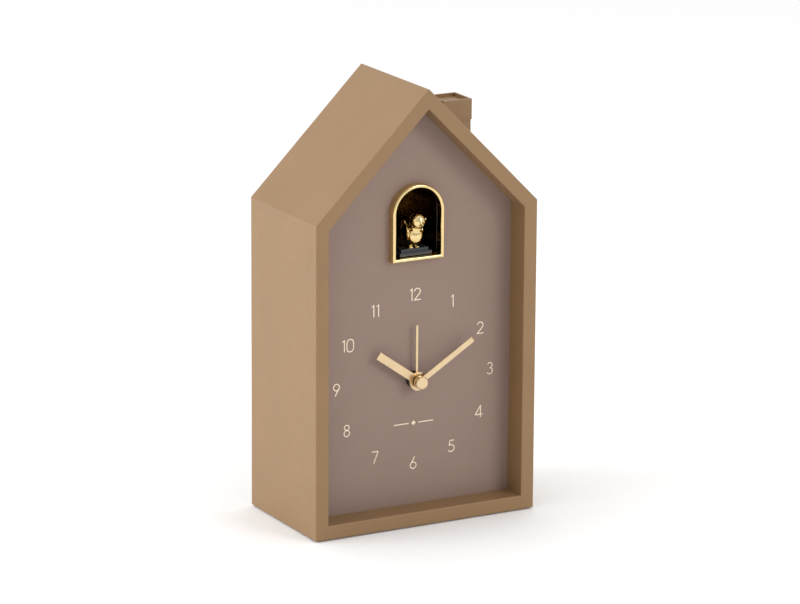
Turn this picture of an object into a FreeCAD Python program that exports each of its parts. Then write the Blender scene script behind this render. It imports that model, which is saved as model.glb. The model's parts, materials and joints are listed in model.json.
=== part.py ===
"""A table-top cuckoo alarm clock in a gabled house case, as a parametric assembly.

X runs across the clock, Z is up and Y runs from the front to the back.  Every piece is drawn
with Y counted from the front face; seat() then moves it so that the origin is the bottom
centre of the clock.
"""
import FreeCAD
import Part
import Sketcher
import math
import os
import re

SIZES = {
    # case: a gabled house with 45 degree roof slopes
    "case_width": 117.0, "case_depth": 66.0, "eave_height": 151.6, "wall": 2.6,
    "foot_height": 0.6, "rim_width": 6.8, "rim_wall": 2.2, "recess": 13.0,
    "case_edge": 0.5, "cover_inset": 3.0, "cover_thick": 2.5, "cover_gap": 0.15,
    # dial and hands
    "dial_thick": 2.0, "dial_height": 68.6, "numeral_ring": 41.1, "numeral_size": 6.0,
    "numeral_line": 0.52, "numeral_thick": 0.15, "alarm_reach": 26.8, "hour_reach": 26.0,
    "minute_reach": 33.2, "alarm_wide": 1.1, "hour_wide": 3.8, "minute_wide": 2.7,
    "alarm_plane": 9.9, "hour_plane": 8.4, "minute_plane": 6.7, "hand_thick": 0.4,
    # arched window, bird niche and chimney
    "arch_radius": 11.9, "frame_face": 1.8, "frame_depth": 4.3, "sill_height": 128.6,
    "arch_spring": 149.6, "niche_depth": 36.0, "niche_wall": 1.2,
    "chimney_x": 29.25, "chimney_width": 15.0, "chimney_top": 197.4, "cap_height": 10.0, "cap_skin": 0.8,
    "collar_step": 0.35, "collar_wall": 1.8, "roof_play": 0.2, "tray_depth": 1.6,
    # movement
    "movement_width": 60.0, "movement_low": 38.0, "movement_high": 98.0,
    "movement_deep": 17.0, "plate_thick": 1.5, "play": 0.05,
    # rear: battery bay, knobs, speaker and switches
    "bay_width": 48.0, "bay_low": 11.0, "bay_high": 66.0, "bay_deep": 16.0, "cell_radius": 7.25,
    "cell_length": 50.0, "knob_radius": 7.0, "knob_thick": 2.4, "speaker_radius": 18.0,
    "speaker_height": 147.0, "switch_height": 106.0, "switch_side": 17.0, "switch_travel": 3.0,
    "bird_travel": 12.0,
}
NODES = {}
doc = FreeCAD.newDocument("cuckoo_clock")
sheet = doc.addObject("Spreadsheet::Sheet", "dims")
for row, (name, value) in enumerate(SIZES.items(), 1):
    sheet.set(f"A{row}", name)
    sheet.set(f"B{row}", str(value))
    sheet.setAlias(f"B{row}", name)
doc.recompute()


def bound(text):
    """The expression with each named size turned into a reference to its cell."""
    return re.sub(r"[a-z_]+", lambda m: "dims." + m.group() if m.group() in SIZES else m.group(), str(text))


def mm(text):
    """The value of an expression of named sizes."""
    return float(sheet.evalExpression(bound(text)))


# ---- primitives whose sizes and places are bound to the sheet ----
def place(item, x, y, z):
    for axis, text in (("x", x), ("y", y), ("z", z)):
        item.setExpression("Placement.Base." + axis, bound(text))
    return item


def sized(kind, **sizes):
    """A Part primitive whose sizes are bound to the sheet."""
    item = doc.addObject(kind, kind.split("::")[1].lower())
    for key, text in sizes.items():
        item.setExpression(key, bound(text))
    return item


# How a primitive drawn along +Z is turned to run along each axis.
ALONG = {
    "x": FreeCAD.Rotation(FreeCAD.Vector(0, 1, 0), 90),
    "y": FreeCAD.Rotation(FreeCAD.Vector(1, 0, 0), -90),
    "z": FreeCAD.Rotation(),
}


def box(x, y, z, length, width, height):
    """A block from its low corner, with its length along X, width along Y and height along Z."""
    return place(sized("Part::Box", Length=length, Width=width, Height=height), x, y, z)


def rod(x, y, z, radius, length, axis="y"):
    """A cylinder from the centre of its first end, along +Y unless another axis is named."""
    item = sized("Part::Cylinder", Radius=radius, Height=length)
    item.Placement = FreeCAD.Placement(FreeCAD.Vector(), ALONG[axis])
    return place(item, x, y, z)


def cone(x, y, z, first, last, length):
    """A cone or taper along +Y from the centre of its first end."""
    item = sized("Part::Cone", Radius1=first, Radius2=last, Height=length)
    item.Placement = FreeCAD.Placement(FreeCAD.Vector(), ALONG["y"])
    return place(item, x, y, z)


def loop(x, y, z, radius, wire):
    """A ring of round wire around an axis along X."""
    item = sized("Part::Torus", Radius1=radius, Radius2=wire)
    item.Placement = FreeCAD.Placement(FreeCAD.Vector(), ALONG["x"])
    return place(item, x, y, z)


def egg(x, y, z, wide, deep, tall):
    """An ellipsoid from its centre and its half sizes along X, Y and Z."""
    return place(sized("Part::Ellipsoid", Radius1=tall, Radius2=wide, Radius3=deep), x, y, z)


def fuse(*items):
    item = doc.addObject("Part::MultiFuse", "joined")
    item.Shapes = list(items)
    item.Refine = True
    return item


def cut(base, *tools):
    item = doc.addObject("Part::Cut", "cut")
    item.Base = base
    item.Tool = tools[0] if len(tools) == 1 else fuse(*tools)
    return item


def group(*items):
    """Separate solids that share one node."""
    item = doc.addObject("Part::Compound", "set")
    item.Links = list(items)
    return item


def shaped(shape):
    item = doc.addObject("Part::Feature", "form")
    item.Shape = shape
    return item


def rounded(item, radius, wanted):
    """Rounds the edges that pass the test."""
    doc.recompute()
    picked = [n for n, e in enumerate(item.Shape.Edges, 1) if wanted(e)]
    out = doc.addObject("Part::Fillet", "rounded")
    out.Base = item
    out.Edges = [(n, mm(radius), mm(radius)) for n in picked]
    return out


def middle(edge):
    return edge.valueAt((edge.FirstParameter + edge.LastParameter) / 2)


def node(name, item):
    """Names a finished piece and moves it from the drawing frame to the clock's own frame."""
    item.Label = name
    drawn = dict(item.ExpressionEngine)
    known = drawn.get(".Placement.Base.y", drawn.get("Placement.Base.y", "0"))
    item.setExpression("Placement.Base.y", f"{known} - dims.case_depth / 2")
    NODES[name] = item
    return item


# ---- sketched bodies, drawn in the XZ plane ----
def new_body(name):
    return doc.addObject("PartDesign::Body", name)


def sketch(body, name, depth):
    """A sketch parallel to the front face, a given distance behind it."""
    drawing = body.newObject("Sketcher::SketchObject", name)
    plane = [f for f in body.Origin.OriginFeatures if f.Role == "XZ_Plane"][0]
    drawing.AttachmentSupport = [(plane, "")]
    drawing.MapMode = "FlatFace"
    drawing.setExpression("AttachmentOffset.Base.z", bound(f"-({depth})"))
    return drawing


def fix(drawing, kind, name, geometry, text):
    """A dimension from the sketch's origin, or of a curve itself, bound to the sheet."""
    index = drawing.addConstraint(Sketcher.Constraint(kind, *geometry, mm(text)))
    drawing.renameConstraint(index, name)
    drawing.setExpression("Constraints." + name, bound(text))


def outline(drawing, corners, tag="p"):
    """A closed polygon through corners given as pairs of expressions."""
    at = [FreeCAD.Vector(mm(x), mm(z), 0) for x, z in corners]
    first = drawing.GeometryCount
    for n in range(len(at)):
        drawing.addGeometry(Part.LineSegment(at[n], at[(n + 1) % len(at)]))
    for n in range(len(at)):
        other = first + (n + 1) % len(at)
        drawing.addConstraint(Sketcher.Constraint("Coincident", first + n, 2, other, 1))
    for n, (x, z) in enumerate(corners):
        fix(drawing, "DistanceX", f"{tag}x{n}", (-1, 1, first + n, 1), x)
        fix(drawing, "DistanceY", f"{tag}z{n}", (-1, 1, first + n, 1), z)
    return drawing


def house(drawing, inset, base="foot_height"):
    """The case outline moved inwards by inset; the roof keeps its 45 degree slopes."""
    side = f"case_width / 2 - ({inset})"
    eave = f"eave_height - 0.41421 * ({inset})"
    ridge = f"eave_height + case_width / 2 - 1.41421 * ({inset})"
    floor = f"{base} + ({inset})"
    return outline(drawing, [(f"-({side})", floor), (side, floor), (side, eave), ("0", ridge), (f"-({side})", eave)])


def arch(drawing, grow, base):
    """The window outline: straight sides under a half circle, grown outwards by grow."""
    r = mm(f"arch_radius + {grow}")
    low, spring = mm(base), mm("arch_spring")
    left = drawing.addGeometry(Part.LineSegment(FreeCAD.Vector(-r, spring, 0), FreeCAD.Vector(-r, low, 0)))
    floor = drawing.addGeometry(Part.LineSegment(FreeCAD.Vector(-r, low, 0), FreeCAD.Vector(r, low, 0)))
    right = drawing.addGeometry(Part.LineSegment(FreeCAD.Vector(r, low, 0), FreeCAD.Vector(r, spring, 0)))
    ring = Part.Circle(FreeCAD.Vector(0, spring, 0), FreeCAD.Vector(0, 0, 1), r)
    top = drawing.addGeometry(Part.ArcOfCircle(ring, 0, math.pi))
    for one, two in (((left, 2), (floor, 1)), ((floor, 2), (right, 1)), ((right, 2), (top, 1)), ((top, 2), (left, 1))):
        drawing.addConstraint(Sketcher.Constraint("Coincident", *one, *two))
    fix(drawing, "DistanceX", "cx", (-1, 1, top, 3), "0")
    fix(drawing, "DistanceY", "cz", (-1, 1, top, 3), "arch_spring")
    fix(drawing, "Radius", "r", (top,), f"arch_radius + {grow}")
    fix(drawing, "DistanceX", "lx", (-1, 1, left, 2), f"-(arch_radius + {grow})")
    fix(drawing, "DistanceY", "lz", (-1, 1, left, 2), base)
    fix(drawing, "DistanceX", "rx", (-1, 1, right, 1), f"arch_radius + {grow}")
    fix(drawing, "DistanceY", "rz", (-1, 1, right, 1), base)
    return drawing


def pad(body, drawing, length):
    feature = body.newObject("PartDesign::Pad", "Pad")
    feature.Profile = drawing
    feature.Reversed = True
    feature.setExpression("Length", bound(length))
    return feature


def pocket(body, drawing, length):
    feature = body.newObject("PartDesign::Pocket", "Pocket")
    feature.Profile = drawing
    feature.setExpression("Length", bound(length))
    return feature


# ---- gears ----
def flank_angle(radius, base):
    """The involute function of the pressure angle at a radius."""
    slope = math.acos(min(1.0, base / radius))
    return math.tan(slope) - slope


def gear_face(teeth, module, first_tooth, slack=0.07, tip=0.82, root=1.2):
    """An involute gear outline in the XY plane with one tooth centred at first_tooth radians.

    slack, tip and root are in modules: the tooth thinning, the addendum and the dedendum.
    """
    pitch = teeth * module / 2
    base = pitch * math.cos(math.radians(20))
    outer, inner = pitch + tip * module, pitch - root * module
    half = math.pi / (2 * teeth) - slack * module / pitch
    radii = [max(base, inner + 0.01), (max(base, inner) + pitch) / 2, pitch, (pitch + outer) / 2, outer]
    spread = [half + flank_angle(pitch, base) - flank_angle(r, base) for r in radii]
    flank = [(inner, spread[0])] + list(zip(radii, spread))
    points = []
    for tooth in range(teeth):
        middle_angle = first_tooth + 2 * math.pi * tooth / teeth
        rising = [(r, middle_angle - a) for r, a in flank]
        falling = [(r, middle_angle + a) for r, a in reversed(flank)]
        points += [FreeCAD.Vector(r * math.cos(a), r * math.sin(a), 0) for r, a in rising + falling]
    return Part.Face(Part.makePolygon(points + points[:1]))


def gear(teeth, module, first_tooth, thick, hole):
    """A gear in the XY plane, thick along +Z, with a round hole unless hole is 0."""
    solid = gear_face(teeth, module, first_tooth).extrude(FreeCAD.Vector(0, 0, thick))
    if hole:
        solid = solid.cut(Part.makeCylinder(hole, thick))
    return solid


def facing_back(shape, x, y, z):
    """Turns a shape drawn in XY so that XY becomes XZ seen from the front, growing along +Y."""
    out = shape.copy()
    out.rotate(FreeCAD.Vector(), FreeCAD.Vector(1, 0, 0), 90)
    flipped = out.mirror(FreeCAD.Vector(), FreeCAD.Vector(0, 1, 0))
    flipped.translate(FreeCAD.Vector(x, y, z))
    return flipped


def meshing(angle, first_tooth, teeth, next_teeth):
    """The tooth angle of the next gear, whose centre lies at angle from this gear's centre."""
    return angle + math.pi - (first_tooth - angle) * teeth / next_teeth + math.pi / next_teeth


# ---- the case ----
def make_case():
    body = new_body("case_body")
    pad(body, house(sketch(body, "Outline", "0"), "0"), "case_depth")
    inside = house(sketch(body, "Inside", "rim_wall"), "wall")
    pocket(body, inside, "case_depth - rim_wall")
    pad(body, house(sketch(body, "RecessWall", "0.5"), "rim_width - rim_wall"), "recess - 0.5")
    pocket(body, house(sketch(body, "Recess", "0"), "rim_width"), "recess")
    posts = [rod(x, "recess + dial_thick + play", z, 3.4, "case_depth - cover_inset - cover_thick - recess - dial_thick - play")
             for x, z in SCREWS]
    pilots = [rod(x, "case_depth - cover_inset - 14", z, 1.1, "14") for x, z in SCREWS]
    shaft = box("chimney_x - chimney_width / 2 - roof_play", "case_depth / 2 - chimney_width / 2 - 0.5 - roof_play",
                "eave_height", "chimney_width + 2 * roof_play", "chimney_width + 1 + 2 * roof_play", 50)
    pads = [rod(x, y, "foot_height", 5.1, 0.7, "z") for x, y in FEET]
    shell = cut(fuse(body, *posts), shaft, *pilots, *pads)
    return node("case_shell", rounded(shell, "case_edge", outer_edge))


def outer_edge(edge):
    """Edges on the front face and the five long corners of the case."""
    at = middle(edge)
    width, depth = mm("case_width") / 2, mm("case_depth")
    if edge.Length < 40:
        return False
    along = abs(edge.Vertexes[0].Y - edge.Vertexes[-1].Y) > depth - 1
    corner = abs(abs(at.x) - width) < 0.01 or abs(at.z - mm("eave_height") - width) < 0.01
    return abs(at.y) < 0.01 or (along and corner)


FEET = [(x, y) for x in ("-46", "46") for y in ("9", "57")]
SCREWS = [("-53", "6.4"), ("53", "6.4"), ("-53", "146"), ("53", "146"), ("0", "202.2")]
COVER_FACE = "case_depth - cover_inset"
COVER_BACK = "case_depth - cover_inset - cover_thick"
KNOB_HEIGHT = "dial_height + 5.09"
TIME_KNOB, ALARM_KNOB = "-18.99", "11.4"
MOTION = ("-7.713", "dial_height + 9.193")
CELLS = ("20.2", "35.4", "50.6")
HINGE = ("case_depth - cover_inset - 1", "12.9")


def make_cover():
    body = new_body("cover_body")
    pad(body, house(sketch(body, "Outline", COVER_BACK), "wall + cover_gap"), "cover_thick")
    bay = box("-bay_width / 2 - 3.3", COVER_BACK, 11.6, "bay_width + 6.6", "cover_thick", 48.8)
    knobs = [rod(x, COVER_BACK, KNOB_HEIGHT, 1.6, "cover_thick") for x in (TIME_KNOB, ALARM_KNOB)]
    slots = [box(f"{x} - 1.6 - {t}", COVER_BACK, "switch_height - 1.6", f"3.2 + {t}", "cover_thick", 3.2)
             for x, t in (("-switch_side", "switch_travel"), ("switch_side", "switch_travel"))]
    grille = []
    for n in range(-4, 5):
        half = math.sqrt(15.5 ** 2 - (3.2 * n) ** 2)
        grille.append(box(-half, COVER_BACK, f"speaker_height - 0.8 + {3.2 * n}", 2 * half, "cover_thick", 1.6))
    holes = [rod(x, COVER_BACK, z, 1.6, "cover_thick") for x, z in SCREWS]
    sinks = [rod(x, COVER_FACE + " - 1.3", z, 3.1, 1.3) for x, z in SCREWS]
    pins = [rod("-bay_width / 2 - 5.2", *HINGE, 0.55, "bay_width + 10.4", "x")]
    posts = [rod(x, "54.05", "switch_height + " + z, 1.8, f"{COVER_BACK} - 54.05 + 0.2") for x in (-27, 27) for z in ("5", "-5")]
    return node("rear_cover", cut(fuse(body, *posts), bay, *knobs, *slots, *grille, *holes, *sinks, *pins))


def make_fasteners():
    screws = []
    for x, z in SCREWS:
        head = rod(x, COVER_FACE + " - 1.3", z, 2.7, 1.1)
        shank = rod(x, COVER_FACE + " - 11", z, 1.1, 9.8)
        cross = [box(f"{x} - {a / 2}", COVER_FACE + " - 0.9", f"{z} - {b / 2}", a, 0.8, b) for a, b in ((2.6, 0.6), (0.6, 2.6))]
        screws.append(cut(fuse(head, shank), *cross))
    node("cover_screws", group(*screws))
    node("rubber_feet", group(*[rod(x, y, 0, 5, "foot_height + 0.6", "z") for x, y in FEET]))


# ---- the chimney button ----
def coil(radius, wire, turns, length):
    """A round-wire coil spring along +Z whose wire keeps within the length."""
    end = 1.3 * wire
    span = length - 2 * end
    path = Part.Wire(Part.makeHelix(span / turns, span, radius).Edges)
    path.translate(FreeCAD.Vector(0, 0, end))
    ring = Part.Wire(Part.makeCircle(wire, FreeCAD.Vector(radius, 0, end), FreeCAD.Vector(0, 1, 0)))
    spring = path.makePipeShell([ring], True, True)
    return spring


def chimney_box(inset, low, height):
    """A block on the chimney's axis, with its sides moved inwards from the cap's by inset."""
    return box(f"chimney_x - chimney_width / 2 + {inset}", f"case_depth / 2 - chimney_width / 2 - 0.5 + {inset}", low,
               f"chimney_width - 2 * ({inset})", f"chimney_width + 1 - 2 * ({inset})", height)


def make_chimney():
    """The whole chimney is the snooze button: it slides in the roof on a fixed seat with a coil spring."""
    seam, inside = "chimney_top - cap_height", "collar_step + collar_wall"
    seat_low, seat_top, collar_low = 158.5, 173, 166
    sleeve = chimney_box("collar_step", collar_low, f"{seam} - {collar_low}")
    node("chimney_collar", cut(sleeve, chimney_box(inside, collar_low, 40)))
    block = chimney_box(0, seam, "cap_height")
    tray = chimney_box("1.1", "chimney_top - tray_depth", "tray_depth")
    hollow = chimney_box("cap_skin + 1", seam, "cap_height - tray_depth - 1.4")
    stem = rod("chimney_x", "case_depth / 2", 177, 2, "chimney_top - tray_depth - 1 - 177", "z")
    node("chimney_cap", rounded(fuse(cut(block, tray, hollow), stem), 0.3, cap_edge))
    spring = shaped(coil(2.9, 0.25, 7, mm(f"chimney_top - tray_depth - 1.4 - {seat_top}")))
    place(spring, "chimney_x", "case_depth / 2", seat_top)
    node("snooze_spring", spring)
    column = chimney_box(f"{inside} + roof_play", seat_low, f"{seat_top} - {seat_low}")
    shelf = box("chimney_x - 8", "case_depth / 2 - 10", f"{seat_low} - 2", 26.6, 20, 2)
    node("snooze_seat", fuse(column, shelf))
    base = rod("chimney_x", "case_depth / 2", seat_top, 2.4, 2.2, "z")
    node("snooze_switch", fuse(base, rod("chimney_x", "case_depth / 2", seat_top + 2, 1.1, 1.1, "z")))


def cap_edge(edge):
    at = middle(edge)
    return at.z > mm("chimney_top") - 0.01 and edge.Length > 14.9


# ---- dial, numerals and hands ----
def bar(start, end, wide):
    """A straight stroke between two points of the dial, as a flat face."""
    dx, dz = end[0] - start[0], end[1] - start[1]
    size = math.hypot(dx, dz)
    nx, nz = -dz / size * wide / 2, dx / size * wide / 2
    corners = [(start[0] + nx, start[1] + nz), (end[0] + nx, end[1] + nz),
               (end[0] - nx, end[1] - nz), (start[0] - nx, start[1] - nz)]
    points = [FreeCAD.Vector(x, 0, z) for x, z in corners]
    return Part.Face(Part.makePolygon(points + points[:1]))


def bow(centre, radius, start, end, wide):
    """A curved stroke around a centre from one angle in degrees to another, as a flat face."""
    out, inn = radius + wide / 2, radius - wide / 2
    origin, normal = FreeCAD.Vector(centre[0], 0, centre[1]), FreeCAD.Vector(0, -1, 0)
    if end - start >= 360:
        return Part.makeFace([Part.Wire(Part.makeCircle(r, origin, normal)) for r in (out, inn)], "Part::FaceMakerBullseye")

    def at(r, angle):
        a = math.radians(angle)
        return FreeCAD.Vector(centre[0] + r * math.cos(a), 0, centre[1] + r * math.sin(a))

    half = (start + end) / 2
    arcs = [Part.Arc(at(r, start), at(r, half), at(r, end)).toShape() for r in (out, inn)]
    ends = [Part.makeLine(at(out, a), at(inn, a)) for a in (start, end)]
    return Part.Face(Part.Wire([arcs[0], ends[1], arcs[1], ends[0]]))


# Each digit is a list of straight strokes and bows in a frame one unit high.
DIGITS = {
    "0": [("bow", (0, 0.71), 0.29, 0, 180), ("bow", (0, 0.29), 0.29, 180, 360),
          ("bar", (-0.29, 0.29), (-0.29, 0.71)), ("bar", (0.29, 0.29), (0.29, 0.71))],
    "1": [("bar", (0.05, 0), (0.05, 1)), ("bar", (0.06, 0.96), (-0.12, 0.82))],
    "2": [("bow", (0, 0.7), 0.26, -42, 170), ("bar", (0.21, 0.55), (-0.27, 0.03)), ("bar", (-0.3, 0.045), (0.32, 0.045))],
    "3": [("bow", (0, 0.74), 0.215, -90, 150), ("bow", (0, 0.28), 0.245, -155, 90)],
    "4": [("bar", (0.12, 0), (0.12, 1)), ("bar", (0.13, 0.97), (-0.36, 0.26)), ("bar", (-0.37, 0.25), (0.3, 0.25))],
    "5": [("bar", (-0.14, 0.955), (0.24, 0.955)), ("bar", (-0.12, 0.96), (-0.2, 0.54)), ("bow", (-0.02, 0.32), 0.28, -150, 128)],
    "6": [("bow", (0, 0.3), 0.26, 0, 360), ("bar", (-0.22, 0.42), (0.12, 1))],
    "7": [("bar", (-0.28, 0.955), (0.3, 0.955)), ("bar", (0.27, 0.95), (-0.1, 0))],
    "8": [("bow", (0, 0.75), 0.205, 0, 360), ("bow", (0, 0.275), 0.24, 0, 360)],
    "9": [("bow", (0, 0.7), 0.26, 0, 360), ("bar", (0.22, 0.58), (-0.12, 0))],
}
ADVANCE = {"10": 0.56, "11": 0.42, "12": 0.52}


def stroke(mark, shift, size, wide):
    """One stroke of a digit, moved and scaled from the unit frame to the dial."""
    def put(point):
        return (shift[0] + point[0] * size, shift[1] + (point[1] - 0.5) * size)

    if mark[0] == "bar":
        return bar(put(mark[1]), put(mark[2]), wide)
    return bow(put(mark[1]), mark[2] * size, mark[3], mark[4], wide)


def raised(faces, front, thick):
    """The union of flat strokes as one solid from the dial's front face towards the viewer."""
    solids = [f.extrude(FreeCAD.Vector(0, -thick, 0)) for f in faces]
    joined = solids[0].multiFuse(solids[1:]).removeSplitter() if len(solids) > 1 else solids[0]
    joined.translate(FreeCAD.Vector(0, front, 0))
    return joined


def make_numerals():
    size, wide, ring = mm("numeral_size"), mm("numeral_line"), mm("numeral_ring")
    solids = []
    for hour in range(1, 13):
        angle = math.radians(90 - 30 * hour)
        text = str(hour)
        step = ADVANCE.get(text, 0) * size
        x0 = ring * math.cos(angle) - step * (len(text) - 1) / 2
        z0 = mm("dial_height") + ring * math.sin(angle)
        for place_no, digit in enumerate(text):
            faces = [stroke(m, (x0 + place_no * step, z0), size, wide) for m in DIGITS[digit]]
            solids.append(raised(faces, mm("recess"), mm("numeral_thick")))
    node("hour_numerals", shaped(Part.makeCompound(solids)))
    z = mm("dial_height") - 21.4
    left = raised([bar((-10.5, z), (-2.6, z), wide)], mm("recess"), mm("numeral_thick"))
    right = raised([bar((2.6, z), (10.5, z), wide)], mm("recess"), mm("numeral_thick"))
    gem = raised([bar((-0.85, z), (0.85, z), 1.7)], mm("recess"), mm("numeral_thick"))
    gem.rotate(FreeCAD.Vector(0, 0, z), FreeCAD.Vector(0, 1, 0), 45)
    node("dial_ornament", shaped(Part.makeCompound([left, gem, right])))


def make_dial():
    body = new_body("dial_body")
    pad(body, house(sketch(body, "Outline", "recess"), "wall + 0.3"), "dial_thick")
    pocket(body, arch(sketch(body, "Window", "recess"), "0.9", "sill_height - 0.9"), "dial_thick")
    node("dial_plate", cut(body, rod(0, "recess", "dial_height", 4.1, "dial_thick")))
    frame = new_body("frame_body")
    pad(frame, arch(sketch(frame, "Outer", "recess - frame_depth"), "frame_face", "sill_height - frame_face"), "frame_depth")
    pocket(frame, arch(sketch(frame, "Inner", "recess - frame_depth"), "0", "sill_height"), "frame_depth")
    node("window_frame", rounded(frame, 0.8, front_of_frame))
    niche = new_body("niche_body")
    start = "recess + dial_thick"
    pad(niche, arch(sketch(niche, "Tub", start), "0.9 + niche_wall", "sill_height - 0.9 - niche_wall"), "niche_depth")
    pad(niche, arch(sketch(niche, "Flange", start), "4", "sill_height - 4"), "1.5")
    pocket(niche, arch(sketch(niche, "Room", start), "0.9", "sill_height - 0.9"), "niche_depth - niche_wall")
    slot = box(-2, f"{start} + 1", "sill_height - 6", 4, "niche_depth - niche_wall - 2", 8)
    node("niche_box", cut(niche, slot))


def front_of_frame(edge):
    return abs(middle(edge).y - mm("recess - frame_depth")) < 0.01


def hand(name, lean, hub, hole):
    """A flat baton hand with a round hub; lean is clockwise from twelve."""
    wide, front = f"{name}_wide", f"{name}_plane"
    turn = FreeCAD.Rotation(FreeCAD.Vector(0, 1, 0), lean)
    axis = FreeCAD.Vector(0, mm(front), mm("dial_height"))
    blade = sized("Part::Box", Length=wide, Width="hand_thick", Height=f"{name}_reach")
    blade.Placement = FreeCAD.Placement(axis - turn.multVec(FreeCAD.Vector(mm(wide) / 2, 0, 0)), turn)
    ring = rod(0, f"{front} - 0.1", "dial_height", hub, "hand_thick + 0.7")
    return cut(fuse(blade, ring), rod(0, f"{front} - 1", "dial_height", hole, 4))


def make_hands():
    """The hub hole of each hand is the outside of the tube or arbor that it is pressed on."""
    node("alarm_hand", hand("alarm", 0, 3.1, 2.5))
    node("hour_hand", hand("hour", -54.7, 4.5, 1.7))
    cap = fuse(rod(0, "minute_plane - 2.2", "dial_height", 3.1, 2.3),
               cone(0, "minute_plane - 2.6", "dial_height", 2.7, 3.1, 0.4))
    socket = rod(0, "minute_plane - 1.5", "dial_height", 1, 3)
    node("minute_hand", fuse(hand("minute", 58.4, 2.8, 1), cut(cap, socket)))


# ---- the movement ----
def gear_solid(teeth, module, first_tooth, thick, hole, x, y, z):
    return shaped(facing_back(gear(teeth, module, first_tooth, thick, hole), mm(str(x)), mm(str(y)), mm(str(z))))


def make_movement():
    fine, coarse = 0.48, 0.5
    to_motion = math.atan2(9.193, -7.713)
    to_alarm = math.atan2(5.09, 11.4)
    to_knob = math.atan2(5.09 - 9.193, -18.99 + 7.713)
    motion_tooth = meshing(to_motion, 0, 12, 36)
    pinion_tooth = 0.1
    hour_tooth = meshing(to_motion + math.pi, pinion_tooth, 10, 40)
    # the minute arbor carries the cannon pinion and the minute hand
    arbor = [rod(0, "minute_plane - 1.5", "dial_height", 1, "31.5 - minute_plane"), rod(0, 29.9, "dial_height", 0.6, 1.5)]
    node("minute_arbor", fuse(gear_solid(12, coarse, 0, 2.0, 0, 0, 20.4, "dial_height"), *arbor))
    wheel = gear_solid(36, coarse, motion_tooth, 1.0, 0, MOTION[0], 20.9, MOTION[1])
    pinion = gear_solid(10, fine, pinion_tooth, 2.3, 0, MOTION[0], 18.7, MOTION[1])
    pivots = [rod(MOTION[0], 15.3, MOTION[1], 0.6, 16.1), rod(MOTION[0], 16.7, MOTION[1], 1.1, 13.6)]
    node("motion_wheel", fuse(wheel, pinion, *pivots))
    hour = gear_solid(40, fine, hour_tooth, 1.0, 0, 0, 18.9, "dial_height")
    tube = fuse(hour, rod(0, "hour_plane - 0.1", "dial_height", 1.7, "20.2 - hour_plane"))
    node("hour_wheel", cut(tube, rod(0, "hour_plane - 1", "dial_height", "1 + play", 14)))
    alarm = gear_solid(40, fine, 0.05, 1.0, 0, 0, 17.2, "dial_height")
    tube = fuse(alarm, rod(0, "alarm_plane - 0.1", "dial_height", 2.5, "18.6 - alarm_plane"))
    node("alarm_wheel", cut(tube, rod(0, "alarm_plane - 1", "dial_height", "1.7 + play", 12)))
    shafts = (("time_knob", TIME_KNOB, gear_solid(12, coarse, meshing(to_knob, motion_tooth, 36, 12), 1.4, 0, TIME_KNOB, 20.7, KNOB_HEIGHT)),
              ("alarm_knob", ALARM_KNOB, gear_solid(12, fine, meshing(to_alarm, 0.05, 40, 12), 1.4, 0, ALARM_KNOB, 17.0, KNOB_HEIGHT)))
    for name, x, teeth in shafts:
        shaft = [rod(x, 15.3, KNOB_HEIGHT, 0.6, 2), rod(x, 16.7, KNOB_HEIGHT, 1.2, 48)]
        knob = rod(x, COVER_FACE + " + 0.3", KNOB_HEIGHT, "knob_radius", "knob_thick")
        grips = []
        for n in range(24):
            a = math.radians(15 * n)
            grips.append(rod(f"{x} + {7.15 * math.cos(a)}", COVER_FACE, f"{KNOB_HEIGHT} + {7.15 * math.sin(a)}", 0.45, 4))
        dish = rod(x, COVER_FACE + " + 2", KNOB_HEIGHT, 5, 1.2)
        node(name, fuse(teeth, cut(knob, dish, *grips), *shaft))
    make_movement_case()


def make_movement_case():
    low, high = "movement_low", "movement_high"
    half = "movement_width / 2"
    start, thick = "recess + dial_thick", "plate_thick"
    tall = f"{high} - {low}"
    shell = box(f"-{half}", start, low, "movement_width", "movement_deep - 1.5", tall)
    room = box(f"-{half} + {thick}", f"{start} + {thick}", f"{low} + {thick}",
               f"movement_width - 2 * {thick}", "movement_deep", f"{tall} - 2 * {thick}")
    bushing = rod(0, "recess - 0.4", "dial_height", 4, 3)
    bores = [rod(0, "recess - 1", "dial_height", "2.5 + play", 6), rod(*at_y(MOTION, start), 0.65, 3),
             rod(TIME_KNOB, start, KNOB_HEIGHT, 0.65, 3), rod(ALARM_KNOB, start, KNOB_HEIGHT, 0.65, 3)]
    node("movement_case", cut(fuse(cut(shell, room), bushing), *bores))
    back = f"{start} + movement_deep - 1.5"
    lid = box(f"-{half}", back, low, "movement_width", 1.5, tall)
    holes = [rod(0, back, "dial_height", 0.65, 3), rod(*at_y(MOTION, back), 0.65, 3),
             rod(TIME_KNOB, back, KNOB_HEIGHT, "1.2 + play", 3), rod(ALARM_KNOB, back, KNOB_HEIGHT, "1.2 + play", 3)]
    node("movement_lid", cut(lid, *holes))
    core = fuse(box(-22, 24, 44, 44, 1, 4), box(-22, 24, 44, 4, 1, 14), box(18, 24, 44, 4, 1, 14))
    node("movement_stator", core)
    winding = cut(rod(-11, 24.5, 46, 4.2, 22, "x"), box(-12, 23.95, 43.95, 24, 1.1, 4.1))
    node("movement_coil", winding)
    board = box(-27, 28, 42, 14, 1, 18)
    node("movement_board", fuse(board, rod(-20, 26.4, 52, 2.8, 1.6), box(-25, 27, 44, 5, 1, 3)))


def at_y(point, y):
    return point[0], y, point[1]


# ---- the bird, its carriage and its drive ----
PINION_PLANE = 34.5


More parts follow.
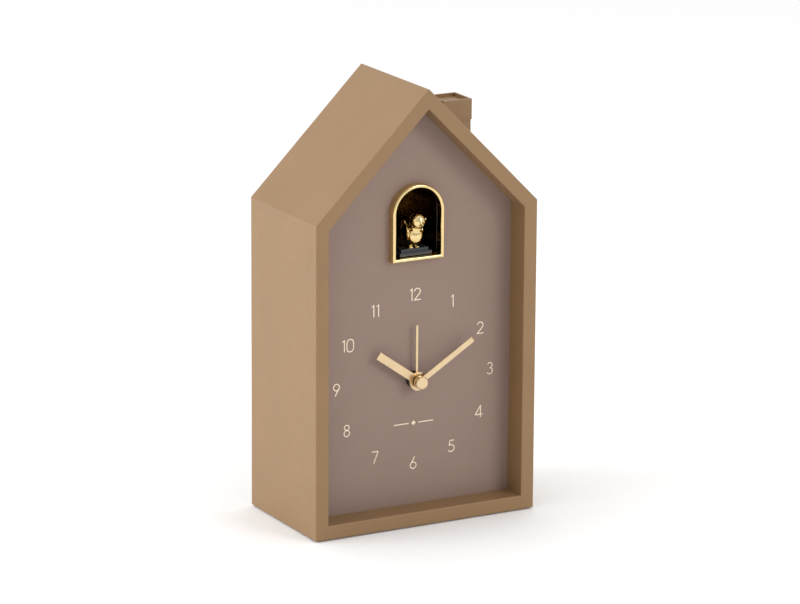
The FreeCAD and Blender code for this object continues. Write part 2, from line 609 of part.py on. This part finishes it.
def make_bird():
    stage = "sill_height + 0.3"
    sled = fuse(box(-8.4, 11.6, stage, 16.8, 28, 1.6), box(-7.2, 12.8, stage + " + 1.6", 14.4, 16, 1.4))
    keel = box(-1.5, 30, "sill_height - 5.5", 3, 9, 6.4)
    node("bird_plinth", fuse(sled, keel))
    node("bird_rack", shaped(rack(0.5, 21.0, 30.0)))
    top = "sill_height + 3.3"
    trunk = egg(0, 15.0, top + " + 6.2", 3.9, 4.8, 5.8)
    neck = egg(0, 12.6, top + " + 10.4", 3.1, 3.3, 3.6)
    crown = egg(0, 10.4, top + " + 13.8", 3.8, 4.1, 4.1)
    bill = cone(0, 4.8, top + " + 12.9", 0.3, 1.4, 2.6)
    fan = box(-1.7, 17.6, top + " + 7.4", 3.4, 4.6, 2.8)
    legs = [rod(x, 15.2, top, 0.7, 3, "z") for x in (-1.4, 1.4)]
    node("bird", fuse(trunk, neck, crown, bill, fan, *legs))
    y, z = PINION_PLANE, mm("sill_height") - 11.5
    wheel = gear(12, 0.5, math.pi, 4.0, 0)
    wheel.rotate(FreeCAD.Vector(), FreeCAD.Vector(0, 1, 0), 90)
    wheel.translate(FreeCAD.Vector(-2, y, z))
    node("bird_pinion", fuse(shaped(wheel), rod(-5, y, z, 0.75, 14, "x")))
    gearbox = cut(box(4, 27, z - 7.5, 7, 15, 16.9), rod(3, y, z, "0.75 + play", 6.5, "x"))
    node("bird_gearbox", gearbox)
    node("bird_motor", fuse(rod(11, y, z, 6, 17, "x"), rod(28, y, z, 2.2, 1.5, "x")))
    holder = cut(box(-9, 27, z - 8, 4.4, 15, 17.4), rod(-6, y, z, "0.75 + play", 3, "x"))
    node("bird_bracket", fuse(holder, box(-9, 27, z - 8.5, 22, 15, 1)))
    rails = [box(x, 15.4, "sill_height - 0.9", 2.4, 34, 1.15) for x in (-7, 4.6)]
    node("bird_rails", group(*rails))


def rack(module, length, start):
    """A straight toothed bar under the carriage, with a gap above the pinion's upright tooth."""
    z = mm("sill_height") - 8.5
    step = math.pi * module
    lean = math.tan(math.radians(20))
    half = step / 4 - 0.07 * module
    rise, drop = 0.82 * module, 1.2 * module
    points = [FreeCAD.Vector(-1.5, start, z + 3.0)]
    first = PINION_PLANE - (int((PINION_PLANE - start) / step) - 0.5) * step
    at = first
    while at < start + length - step / 2:
        for dy, dz in ((-half - drop * lean, drop), (-half + rise * lean, -rise), (half - rise * lean, -rise), (half + drop * lean, drop)):
            points.append(FreeCAD.Vector(-1.5, at + dy, z + dz))
        at += step
    points.insert(1, FreeCAD.Vector(-1.5, start, z + drop))
    points.append(FreeCAD.Vector(-1.5, start + length, z + drop))
    points.append(FreeCAD.Vector(-1.5, start + length, z + 3.0))
    return Part.Face(Part.makePolygon(points + points[:1])).extrude(FreeCAD.Vector(3, 0, 0))


# ---- power, sound and switches ----
def make_power():
    left, wide = "-bay_width / 2 - 4.5", "bay_width + 9"
    tray = box(left, 44.6, 10.2, wide, f"{COVER_BACK} - 44.6", 51.6)
    room = box(left + " + 1.2", 45.8, 11.4, wide + " - 2.4", 30, 49.2)
    node("battery_tray", cut(tray, room))
    cells, springs, plates = [], [], []
    for n, z in enumerate(CELLS):
        side = 1 if n % 2 else -1
        cells.append(fuse(rod("-cell_length / 2", 53.8, z, 7.1, "cell_length - 1.5", "x"),
                          rod("cell_length / 2 - 1.5", 53.8, z, 2.7, "1.5", "x")))
        if side < 0:
            cells[-1] = turned(cells[-1], z)
        plates += [box(x, 48.6, f"{z} - 5", 0.35, 10, 10) for x in (26.9, -27.25)]
        seat, out = (26.6, -1) if side < 0 else (-26.6, 1)
        springs += [loop(seat + out * step, 53.8, z, radius, 0.24) for step, radius in ((0, 4.2), (0.55, 3.3), (1.1, 2.4))]
    node("battery_cells", group(*cells))
    node("battery_springs", group(*springs))
    node("battery_plates", group(*plates))
    y, z = HINGE
    panel = box("-bay_width / 2 - 3", COVER_FACE + " - 1.5", z, "bay_width + 6", 1.5, 47.2)
    roll = rod("-bay_width / 2 - 3", y, z, 1, "bay_width + 6", "x")
    pins = rod("-bay_width / 2 - 5", y, z, 0.5, "bay_width + 10", "x")
    notch = box(-6, COVER_FACE + " - 0.6", f"{z} + 42.6", 12, 0.6, 3)
    node("battery_door", cut(fuse(panel, roll, pins), notch))


def turned(item, z):
    """The same cell with its terminals the other way round."""
    item.Placement = FreeCAD.Placement(FreeCAD.Vector(), FreeCAD.Rotation(FreeCAD.Vector(0, 0, 1), 180))
    item.Placement.Base = FreeCAD.Vector(0, 2 * 53.8, 0)
    return item


def make_sound():
    z = "speaker_height"
    basket = cut(rod(0, 56, z, "speaker_radius", f"{COVER_BACK} - 56"), rod(0, 57, z, "speaker_radius - 2.4", 9),
                 rod(0, 55, z, 8.5, 3))
    node("speaker_frame", basket)
    outer = cone(0, 56.6, z, 6.8, 15.3, 3.2)
    inner = cone(0, 57.2, z, 6.4, 15.3, 3.2)
    node("speaker_cone", cut(outer, inner))
    node("speaker_magnet", fuse(rod(0, 51.8, z, 9, 4.2), rod(0, 55.9, z, 6, 0.6)))
    node("main_board", box(-30, 52.4, "switch_height - 8", 60, 1.6, 16))
    chips = [box(-9, 51.2, "switch_height - 3", 8, 1.2, 6), box(5, 51.2, "switch_height - 2", 5, 1.2, 4),
             rod(16, 46.4, "switch_height", 3, 6)]
    node("board_parts", group(*chips))
    for name, x in (("alarm_switch", "-switch_side"), ("sound_switch", "switch_side")):
        body = box(f"{x} - 6 - switch_travel / 2", 54, "switch_height - 2.8", 12, 6.3, 5.6)
        channel = box(f"{x} - 1.5 - switch_travel - 0.2", 56, "switch_height - 1.1", "3.4 + switch_travel", 5, 2.2)
        node(name + "_body", cut(body, channel))
        foot = box(f"{x} - 1.5", 56.2, "switch_height - 1", 3, 4.6, 2)
        tip = box(f"{x} - 1.4", 60.5, "switch_height - 1.4", 2.8, f"{COVER_FACE} - 60.5 + 1.8", 2.8)
        node(name + "_slider", fuse(foot, tip))


make_case()
make_cover()
make_fasteners()
make_chimney()
make_dial()
make_numerals()
make_hands()
make_movement()
make_bird()
make_power()
make_sound()
doc.recompute()
os.makedirs("parts", exist_ok=True)
for item in doc.Objects:
    if "Invalid" in item.State or "Error" in item.State:
        raise RuntimeError(f"{item.Name} ({item.Label}) failed to build")
for name, item in NODES.items():
    if item.Shape.isNull() or not item.Shape.isValid() or not item.Shape.Solids:
        raise RuntimeError(f"{name} is not a valid solid")
    item.Shape.exportStep(f"parts/{name}.step")
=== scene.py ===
import json
import math
import bmesh
import bpy
from mathutils import Matrix, Vector


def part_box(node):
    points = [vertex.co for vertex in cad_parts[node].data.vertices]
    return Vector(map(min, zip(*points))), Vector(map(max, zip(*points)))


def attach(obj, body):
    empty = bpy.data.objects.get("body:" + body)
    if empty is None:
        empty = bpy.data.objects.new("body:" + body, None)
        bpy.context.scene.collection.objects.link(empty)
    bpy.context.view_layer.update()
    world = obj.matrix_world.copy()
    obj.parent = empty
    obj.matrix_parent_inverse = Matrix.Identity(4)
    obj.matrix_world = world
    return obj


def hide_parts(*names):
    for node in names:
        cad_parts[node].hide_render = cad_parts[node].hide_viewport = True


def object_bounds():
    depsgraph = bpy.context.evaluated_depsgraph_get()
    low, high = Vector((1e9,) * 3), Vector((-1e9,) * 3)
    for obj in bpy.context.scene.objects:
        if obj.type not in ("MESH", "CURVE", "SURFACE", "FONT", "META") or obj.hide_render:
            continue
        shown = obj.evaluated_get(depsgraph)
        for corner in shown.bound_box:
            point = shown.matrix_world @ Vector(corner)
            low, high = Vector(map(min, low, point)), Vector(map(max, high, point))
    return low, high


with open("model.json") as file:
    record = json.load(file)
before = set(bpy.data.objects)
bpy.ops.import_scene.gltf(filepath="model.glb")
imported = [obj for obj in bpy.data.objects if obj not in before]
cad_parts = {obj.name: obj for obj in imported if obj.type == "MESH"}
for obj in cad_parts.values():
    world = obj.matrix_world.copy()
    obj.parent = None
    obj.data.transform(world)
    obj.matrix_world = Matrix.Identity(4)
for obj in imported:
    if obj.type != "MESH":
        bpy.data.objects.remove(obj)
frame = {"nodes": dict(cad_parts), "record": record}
cad_box = [list(v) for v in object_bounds()]
nodes = frame["nodes"]
scene = bpy.context.scene
scene.view_settings.view_transform = "Standard"

MM = 0.001
FRONT = round(cad_box[0][1], 6)


# ---- materials ----
def new_material(name, colour, roughness, metallic=0.0):
    material = bpy.data.materials.new(name)
    material.use_nodes = True
    shader = material.node_tree.nodes["Principled BSDF"]
    shader.inputs["Base Color"].default_value = (*colour, 1)
    shader.inputs["Roughness"].default_value = roughness
    shader.inputs["Metallic"].default_value = metallic
    return material


def pattern(material, scale, detail=4.0, stretch=(1, 1, 1)):
    """A noise pattern fixed to the object; scale is in features per metre."""
    tree = material.node_tree
    place = tree.nodes.new("ShaderNodeTexCoord")
    mapping = tree.nodes.new("ShaderNodeMapping")
    mapping.inputs["Scale"].default_value = stretch
    cloud = tree.nodes.new("ShaderNodeTexNoise")
    cloud.inputs["Scale"].default_value = scale
    cloud.inputs["Detail"].default_value = detail
    tree.links.new(place.outputs["Object"], mapping.inputs["Vector"])
    tree.links.new(mapping.outputs["Vector"], cloud.inputs["Vector"])
    return cloud.outputs["Fac"]


def map_range(tree, value, source, target):
    """Maps a value from one (low, high) range onto another."""
    ramp = tree.nodes.new("ShaderNodeMapRange")
    for key, number in zip(("From Min", "From Max", "To Min", "To Max"), (*source, *target)):
        ramp.inputs[key].default_value = number
    tree.links.new(value, ramp.inputs["Value"])
    return ramp.outputs["Result"]


# Nearly all of a noise texture's factor lies in this range.
NOISE_SPAN = (0.3, 0.7)


def tint(material, factor, dark, light):
    """Drives the base colour between two colours by a noise factor."""
    tree = material.node_tree
    mix = tree.nodes.new("ShaderNodeMix")
    mix.data_type = "RGBA"
    mix.inputs[6].default_value = (*dark, 1)
    mix.inputs[7].default_value = (*light, 1)
    tree.links.new(map_range(tree, factor, NOISE_SPAN, (0, 1)), mix.inputs[0])
    tree.links.new(mix.outputs[2], tree.nodes["Principled BSDF"].inputs["Base Color"])


def vary_roughness(material, factor, low, high):
    tree = material.node_tree
    gloss = map_range(tree, factor, NOISE_SPAN, (low, high))
    tree.links.new(gloss, tree.nodes["Principled BSDF"].inputs["Roughness"])


def relief(material, factor, depth):
    """A bump of the given depth in metres."""
    tree = material.node_tree
    bump = tree.nodes.new("ShaderNodeBump")
    bump.inputs["Distance"].default_value = depth
    bump.inputs["Strength"].default_value = 1.0
    tree.links.new(factor, bump.inputs["Height"])
    tree.links.new(bump.outputs["Normal"], tree.nodes["Principled BSDF"].inputs["Normal"])


def scaled(colour, gain):
    return tuple(min(1.0, c * gain) for c in colour)


def moulded(name, colour, roughness=0.5, grain=5200, depth=0.00001, swing=0.03):
    """Moulded plastic: a fine grain, slow colour drift and slightly uneven gloss."""
    material = new_material(name, colour, roughness)
    tint(material, pattern(material, 35, 3), scaled(colour, 1 - swing), scaled(colour, 1 + swing))
    vary_roughness(material, pattern(material, 420), roughness - 0.05, roughness + 0.05)
    relief(material, pattern(material, grain, 2), depth)
    return material


def metal(name, colour, roughness, grain=900, depth=0.000002, stretch=(1, 1, 1)):
    """Metal or plated plastic with faint polish lines."""
    material = new_material(name, colour, roughness, 1.0)
    tint(material, pattern(material, 160, 3), scaled(colour, 0.94), scaled(colour, 1.04))
    polish = pattern(material, grain, 3, stretch)
    vary_roughness(material, polish, max(0.02, roughness * 0.75), roughness * 1.25)
    relief(material, pattern(material, grain, 2, stretch), depth)
    return material


SAND = (0.262, 0.152, 0.066)
MATERIALS = {
    "case_plastic": moulded("case sand", SAND, 0.42),
    "rear_plastic": moulded("rear sand", scaled(SAND, 0.94), 0.5, 3600, 0.00002),
    "dial_plastic": moulded("dial taupe", (0.262, 0.180, 0.146), 0.62, 7000, 0.000006, 0.02),
    "gold_print": metal("gold foil", (0.82, 0.68, 0.52), 0.42),
    "gold_satin": metal("gold satin", (0.71, 0.54, 0.33), 0.3, 2600, 0.000002, (1, 1, 0.08)),
    "gold_chrome": metal("gold mirror", (0.80, 0.62, 0.30), 0.07, 500, 0.0000004),
    "niche_gloss": metal("niche gloss", (0.16, 0.098, 0.03), 0.16, 1500, 0.000001),
    "plinth_plastic": moulded("plinth charcoal", (0.022, 0.024, 0.028), 0.28, 3000, 0.000005),
    "black_plastic": moulded("black moulded", (0.022, 0.022, 0.023), 0.45, 3600, 0.00001),
    "white_plastic": moulded("white moulded", (0.75, 0.73, 0.68), 0.4),
    "gear_plastic": moulded("acetal", (0.76, 0.74, 0.66), 0.35),
    "zinc_steel": metal("zinc plate", (0.62, 0.63, 0.66), 0.35),
    "spring_steel": metal("nickel plate", (0.60, 0.59, 0.57), 0.28),
    "brass": metal("turned brass", (0.80, 0.60, 0.30), 0.25, 3000, 0.000003, (1, 0.1, 1)),
    "copper": metal("copper winding", (0.72, 0.30, 0.14), 0.3, 6000, 0.00003, (1, 0.05, 0.05)),
    "foot_rubber": moulded("foot rubber", (0.03, 0.03, 0.03), 0.8, 2500, 0.00002),
    "board_green": moulded("board mask", (0.02, 0.13, 0.05), 0.3, 2500, 0.00001),
    "cell_wrap": moulded("cell wrap", (0.05, 0.05, 0.06), 0.25, 900, 0.000003),
    "speaker_paper": moulded("speaker paper", (0.04, 0.04, 0.04), 0.9, 3200, 0.00004),
}
for part in frame["record"]["subparts"]:
    mesh = nodes[part["node"]].data
    mesh.materials.clear()
    mesh.materials.append(MATERIALS[part["material_slot"]])


# ---- the bird: every size is in mm, from the clock's front face and the top of the plinth ----
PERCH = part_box("bird")[0].z


def spot(x, y, z):
    return Vector((x * MM, FRONT + y * MM, PERCH + z * MM))


def blob(work, centre, radii, tilt=0.0):
    """An ellipsoid, its tilt in degrees about X (positive lifts the front)."""
    turn = Matrix.Rotation(math.radians(-tilt), 4, "X")
    stretch = Matrix.Diagonal((*(r * MM for r in radii), 1))
    place = Matrix.Translation(spot(*centre)) @ turn @ stretch
    bmesh.ops.create_icosphere(work, subdivisions=4, radius=1.0, matrix=place)


def spike(work, base, tip, wide, thin):
    """A tapered horn from base to tip with two radii."""
    base, tip = spot(*base), spot(*tip)
    turn = (tip - base).to_track_quat("Z", "Y").to_matrix().to_4x4()
    place = Matrix.Translation((base + tip) / 2) @ turn
    bmesh.ops.create_cone(work, cap_ends=True, segments=24, radius1=wide * MM, radius2=thin * MM,
                          depth=(tip - base).length, matrix=place)


def bird_mass(work):
    """The rough bird: trunk, breast, neck, head, beak, wings, legs, toes and tail."""
    blob(work, (0, 15.2, 6.2), (4.3, 4.6, 5.5), 20)
    blob(work, (0, 13.4, 6.4), (4.1, 3.9, 4.6))
    blob(work, (0, 12.3, 10.3), (3.1, 3.2, 3.5))
    blob(work, (0, 10.4, 13.8), (3.7, 3.95, 3.9))
    spike(work, (0, 7.6, 13.3), (0, 4.9, 12.4), 1.5, 0.25)
    for side in (-1, 1):
        blob(work, (side * 3.8, 15.8, 7.4), (1.1, 3.8, 4.3), 24)
        blob(work, (side * 2.5, 19.6, 10.4), (0.8, 1.6, 2.6), -34)
        spike(work, (side * 1.5, 15.0, 2.6), (side * 1.6, 14.8, 0.2), 0.8, 0.6)
        for toe in (-0.9, 0.0, 0.9):
            spike(work, (side * 1.6, 14.8, 0.35), (side * 1.6 + toe, 13.1, 0.3), 0.45, 0.28)
    blob(work, (0, 19.6, 9.2), (1.9, 1.6, 3.2), -40)


def mesh_object(name, work):
    mesh = bpy.data.meshes.new(name)
    work.to_mesh(mesh)
    work.free()
    item = bpy.data.objects.new(name, mesh)
    scene.collection.objects.link(item)
    return item


def skinned(item, voxel, rounds):
    """Melts overlapping lumps into one skin and smooths it."""
    remesh = item.modifiers.new("skin", "REMESH")
    remesh.mode = "VOXEL"
    remesh.voxel_size = voxel
    smooth = item.modifiers.new("smooth", "SMOOTH")
    smooth.factor = 0.5
    smooth.iterations = rounds
    depsgraph = bpy.context.evaluated_depsgraph_get()
    skin = bpy.data.meshes.new_from_object(item.evaluated_get(depsgraph))
    item.modifiers.clear()
    item.data = skin
    return skin


def ramp(value, start, length):
    """0 up to start, rising to 1 over the length."""
    return max(0.0, min(1.0, (value - start) / length))


def groove_feathers(skin, depth):
    """Shallow waves on the sides of the wings and on the tail."""
    for v in skin.vertices:
        x, y, z = v.co.x / MM, (v.co.y - FRONT) / MM, (v.co.z - PERCH) / MM
        wing = ramp(abs(x), 3.8, 0.5) * (1 - ramp(z, 7.6, 2.0)) * ramp(z, 3.2, 1.0)
        tail = ramp(y, 18.8, 0.8)
        wave = math.sin((y * 0.45 - z * 0.9) * 3.4)
        v.co -= v.normal * depth * max(wing, tail * 0.8) * (0.5 + 0.5 * wave)


def finish_bird_piece(item):
    for face in item.data.polygons:
        face.use_smooth = True
    item.data.materials.clear()
    item.data.materials.append(MATERIALS["gold_chrome"])


def make_bird():
    work = bmesh.new()
    bird_mass(work)
    bird = mesh_object("bird_skin", work)
    groove_feathers(skinned(bird, 0.22 * MM, 6), 0.10 * MM)
    finish_bird_piece(bird)
    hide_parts("bird")
    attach(bird, "bird_carriage")
    for side, name in ((-1, "bird_eye_left"), (1, "bird_eye_right")):
        work = bmesh.new()
        blob(work, (side * 2.95, 8.4, 14.8), (0.55, 0.55, 0.55))
        bead = mesh_object(name, work)
        finish_bird_piece(bead)
        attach(bead, "bird_carriage")


make_bird()


# ---- floor, light and camera ----
def make_floor(half):
    mesh = bpy.data.meshes.new("floor")
    corners = [(-half, -half, 0), (half, -half, 0), (half, half, 0), (-half, half, 0)]
    mesh.from_pydata(corners, [], [(0, 1, 2, 3)])
    mesh.materials.append(new_material("floor", (0.93, 0.93, 0.93), 0.9))
    floor = bpy.data.objects.new("floor", mesh)
    scene.collection.objects.link(floor)


def lamp(name, place, side, power):
    """A square soft box that faces the middle of the clock."""
    data = bpy.data.lights.new(name, "AREA")
    data.shape = "RECTANGLE"
    data.size = side
    data.size_y = side
    data.energy = power
    item = bpy.data.objects.new(name, data)
    item.location = place
    item.rotation_euler = (Vector((0, 0, 0.1)) - Vector(place)).to_track_quat("-Z", "Y").to_euler()
    scene.collection.objects.link(item)


def make_room(dim, bright):
    """A white room that is dimmer in front of the clock than behind it."""
    world = bpy.data.worlds.new("studio")
    scene.world = world
    world.use_nodes = True
    tree = world.node_tree
    sky = tree.nodes["Background"]
    sky.inputs["Color"].default_value = (1, 1, 1, 1)
    direction = tree.nodes.new("ShaderNodeTexCoord")
    parts = tree.nodes.new("ShaderNodeSeparateXYZ")
    tree.links.new(direction.outputs["Generated"], parts.inputs["Vector"])
    strength = map_range(tree, parts.outputs["Y"], (-0.9, 0.1), (dim, bright))
    tree.links.new(strength, sky.inputs["Strength"])


def make_camera():
    optics = bpy.data.cameras.new("camera")
    optics.lens = 199.12
    optics.sensor_width = 36
    optics.clip_start = 0.1
    optics.clip_end = 30
    right = Vector((0.8773611, -0.4797911, 0.0061657))
    up = Vector((0.1174931, 0.2272747, 0.9667169))
    back = Vector((-0.4652235, -0.8474354, 0.2557741))
    turn = Matrix((right, up, back)).transposed().to_4x4()
    camera = bpy.data.objects.new("camera", optics)
    camera.matrix_world = Matrix.Translation((-0.968363, -1.770138, 0.635124)) @ turn
    scene.collection.objects.link(camera)
    scene.camera = camera


make_floor(3.0)
lamp("key_left", (-1.3, 0.3, 0.5), 0.9, 10.4)
lamp("front_right", (0.75, -1.45, 0.85), 0.7, 8.5)
lamp("top", (0.1, 0.2, 1.6), 1.2, 2.2)
make_room(0.65, 1.05)
make_camera()
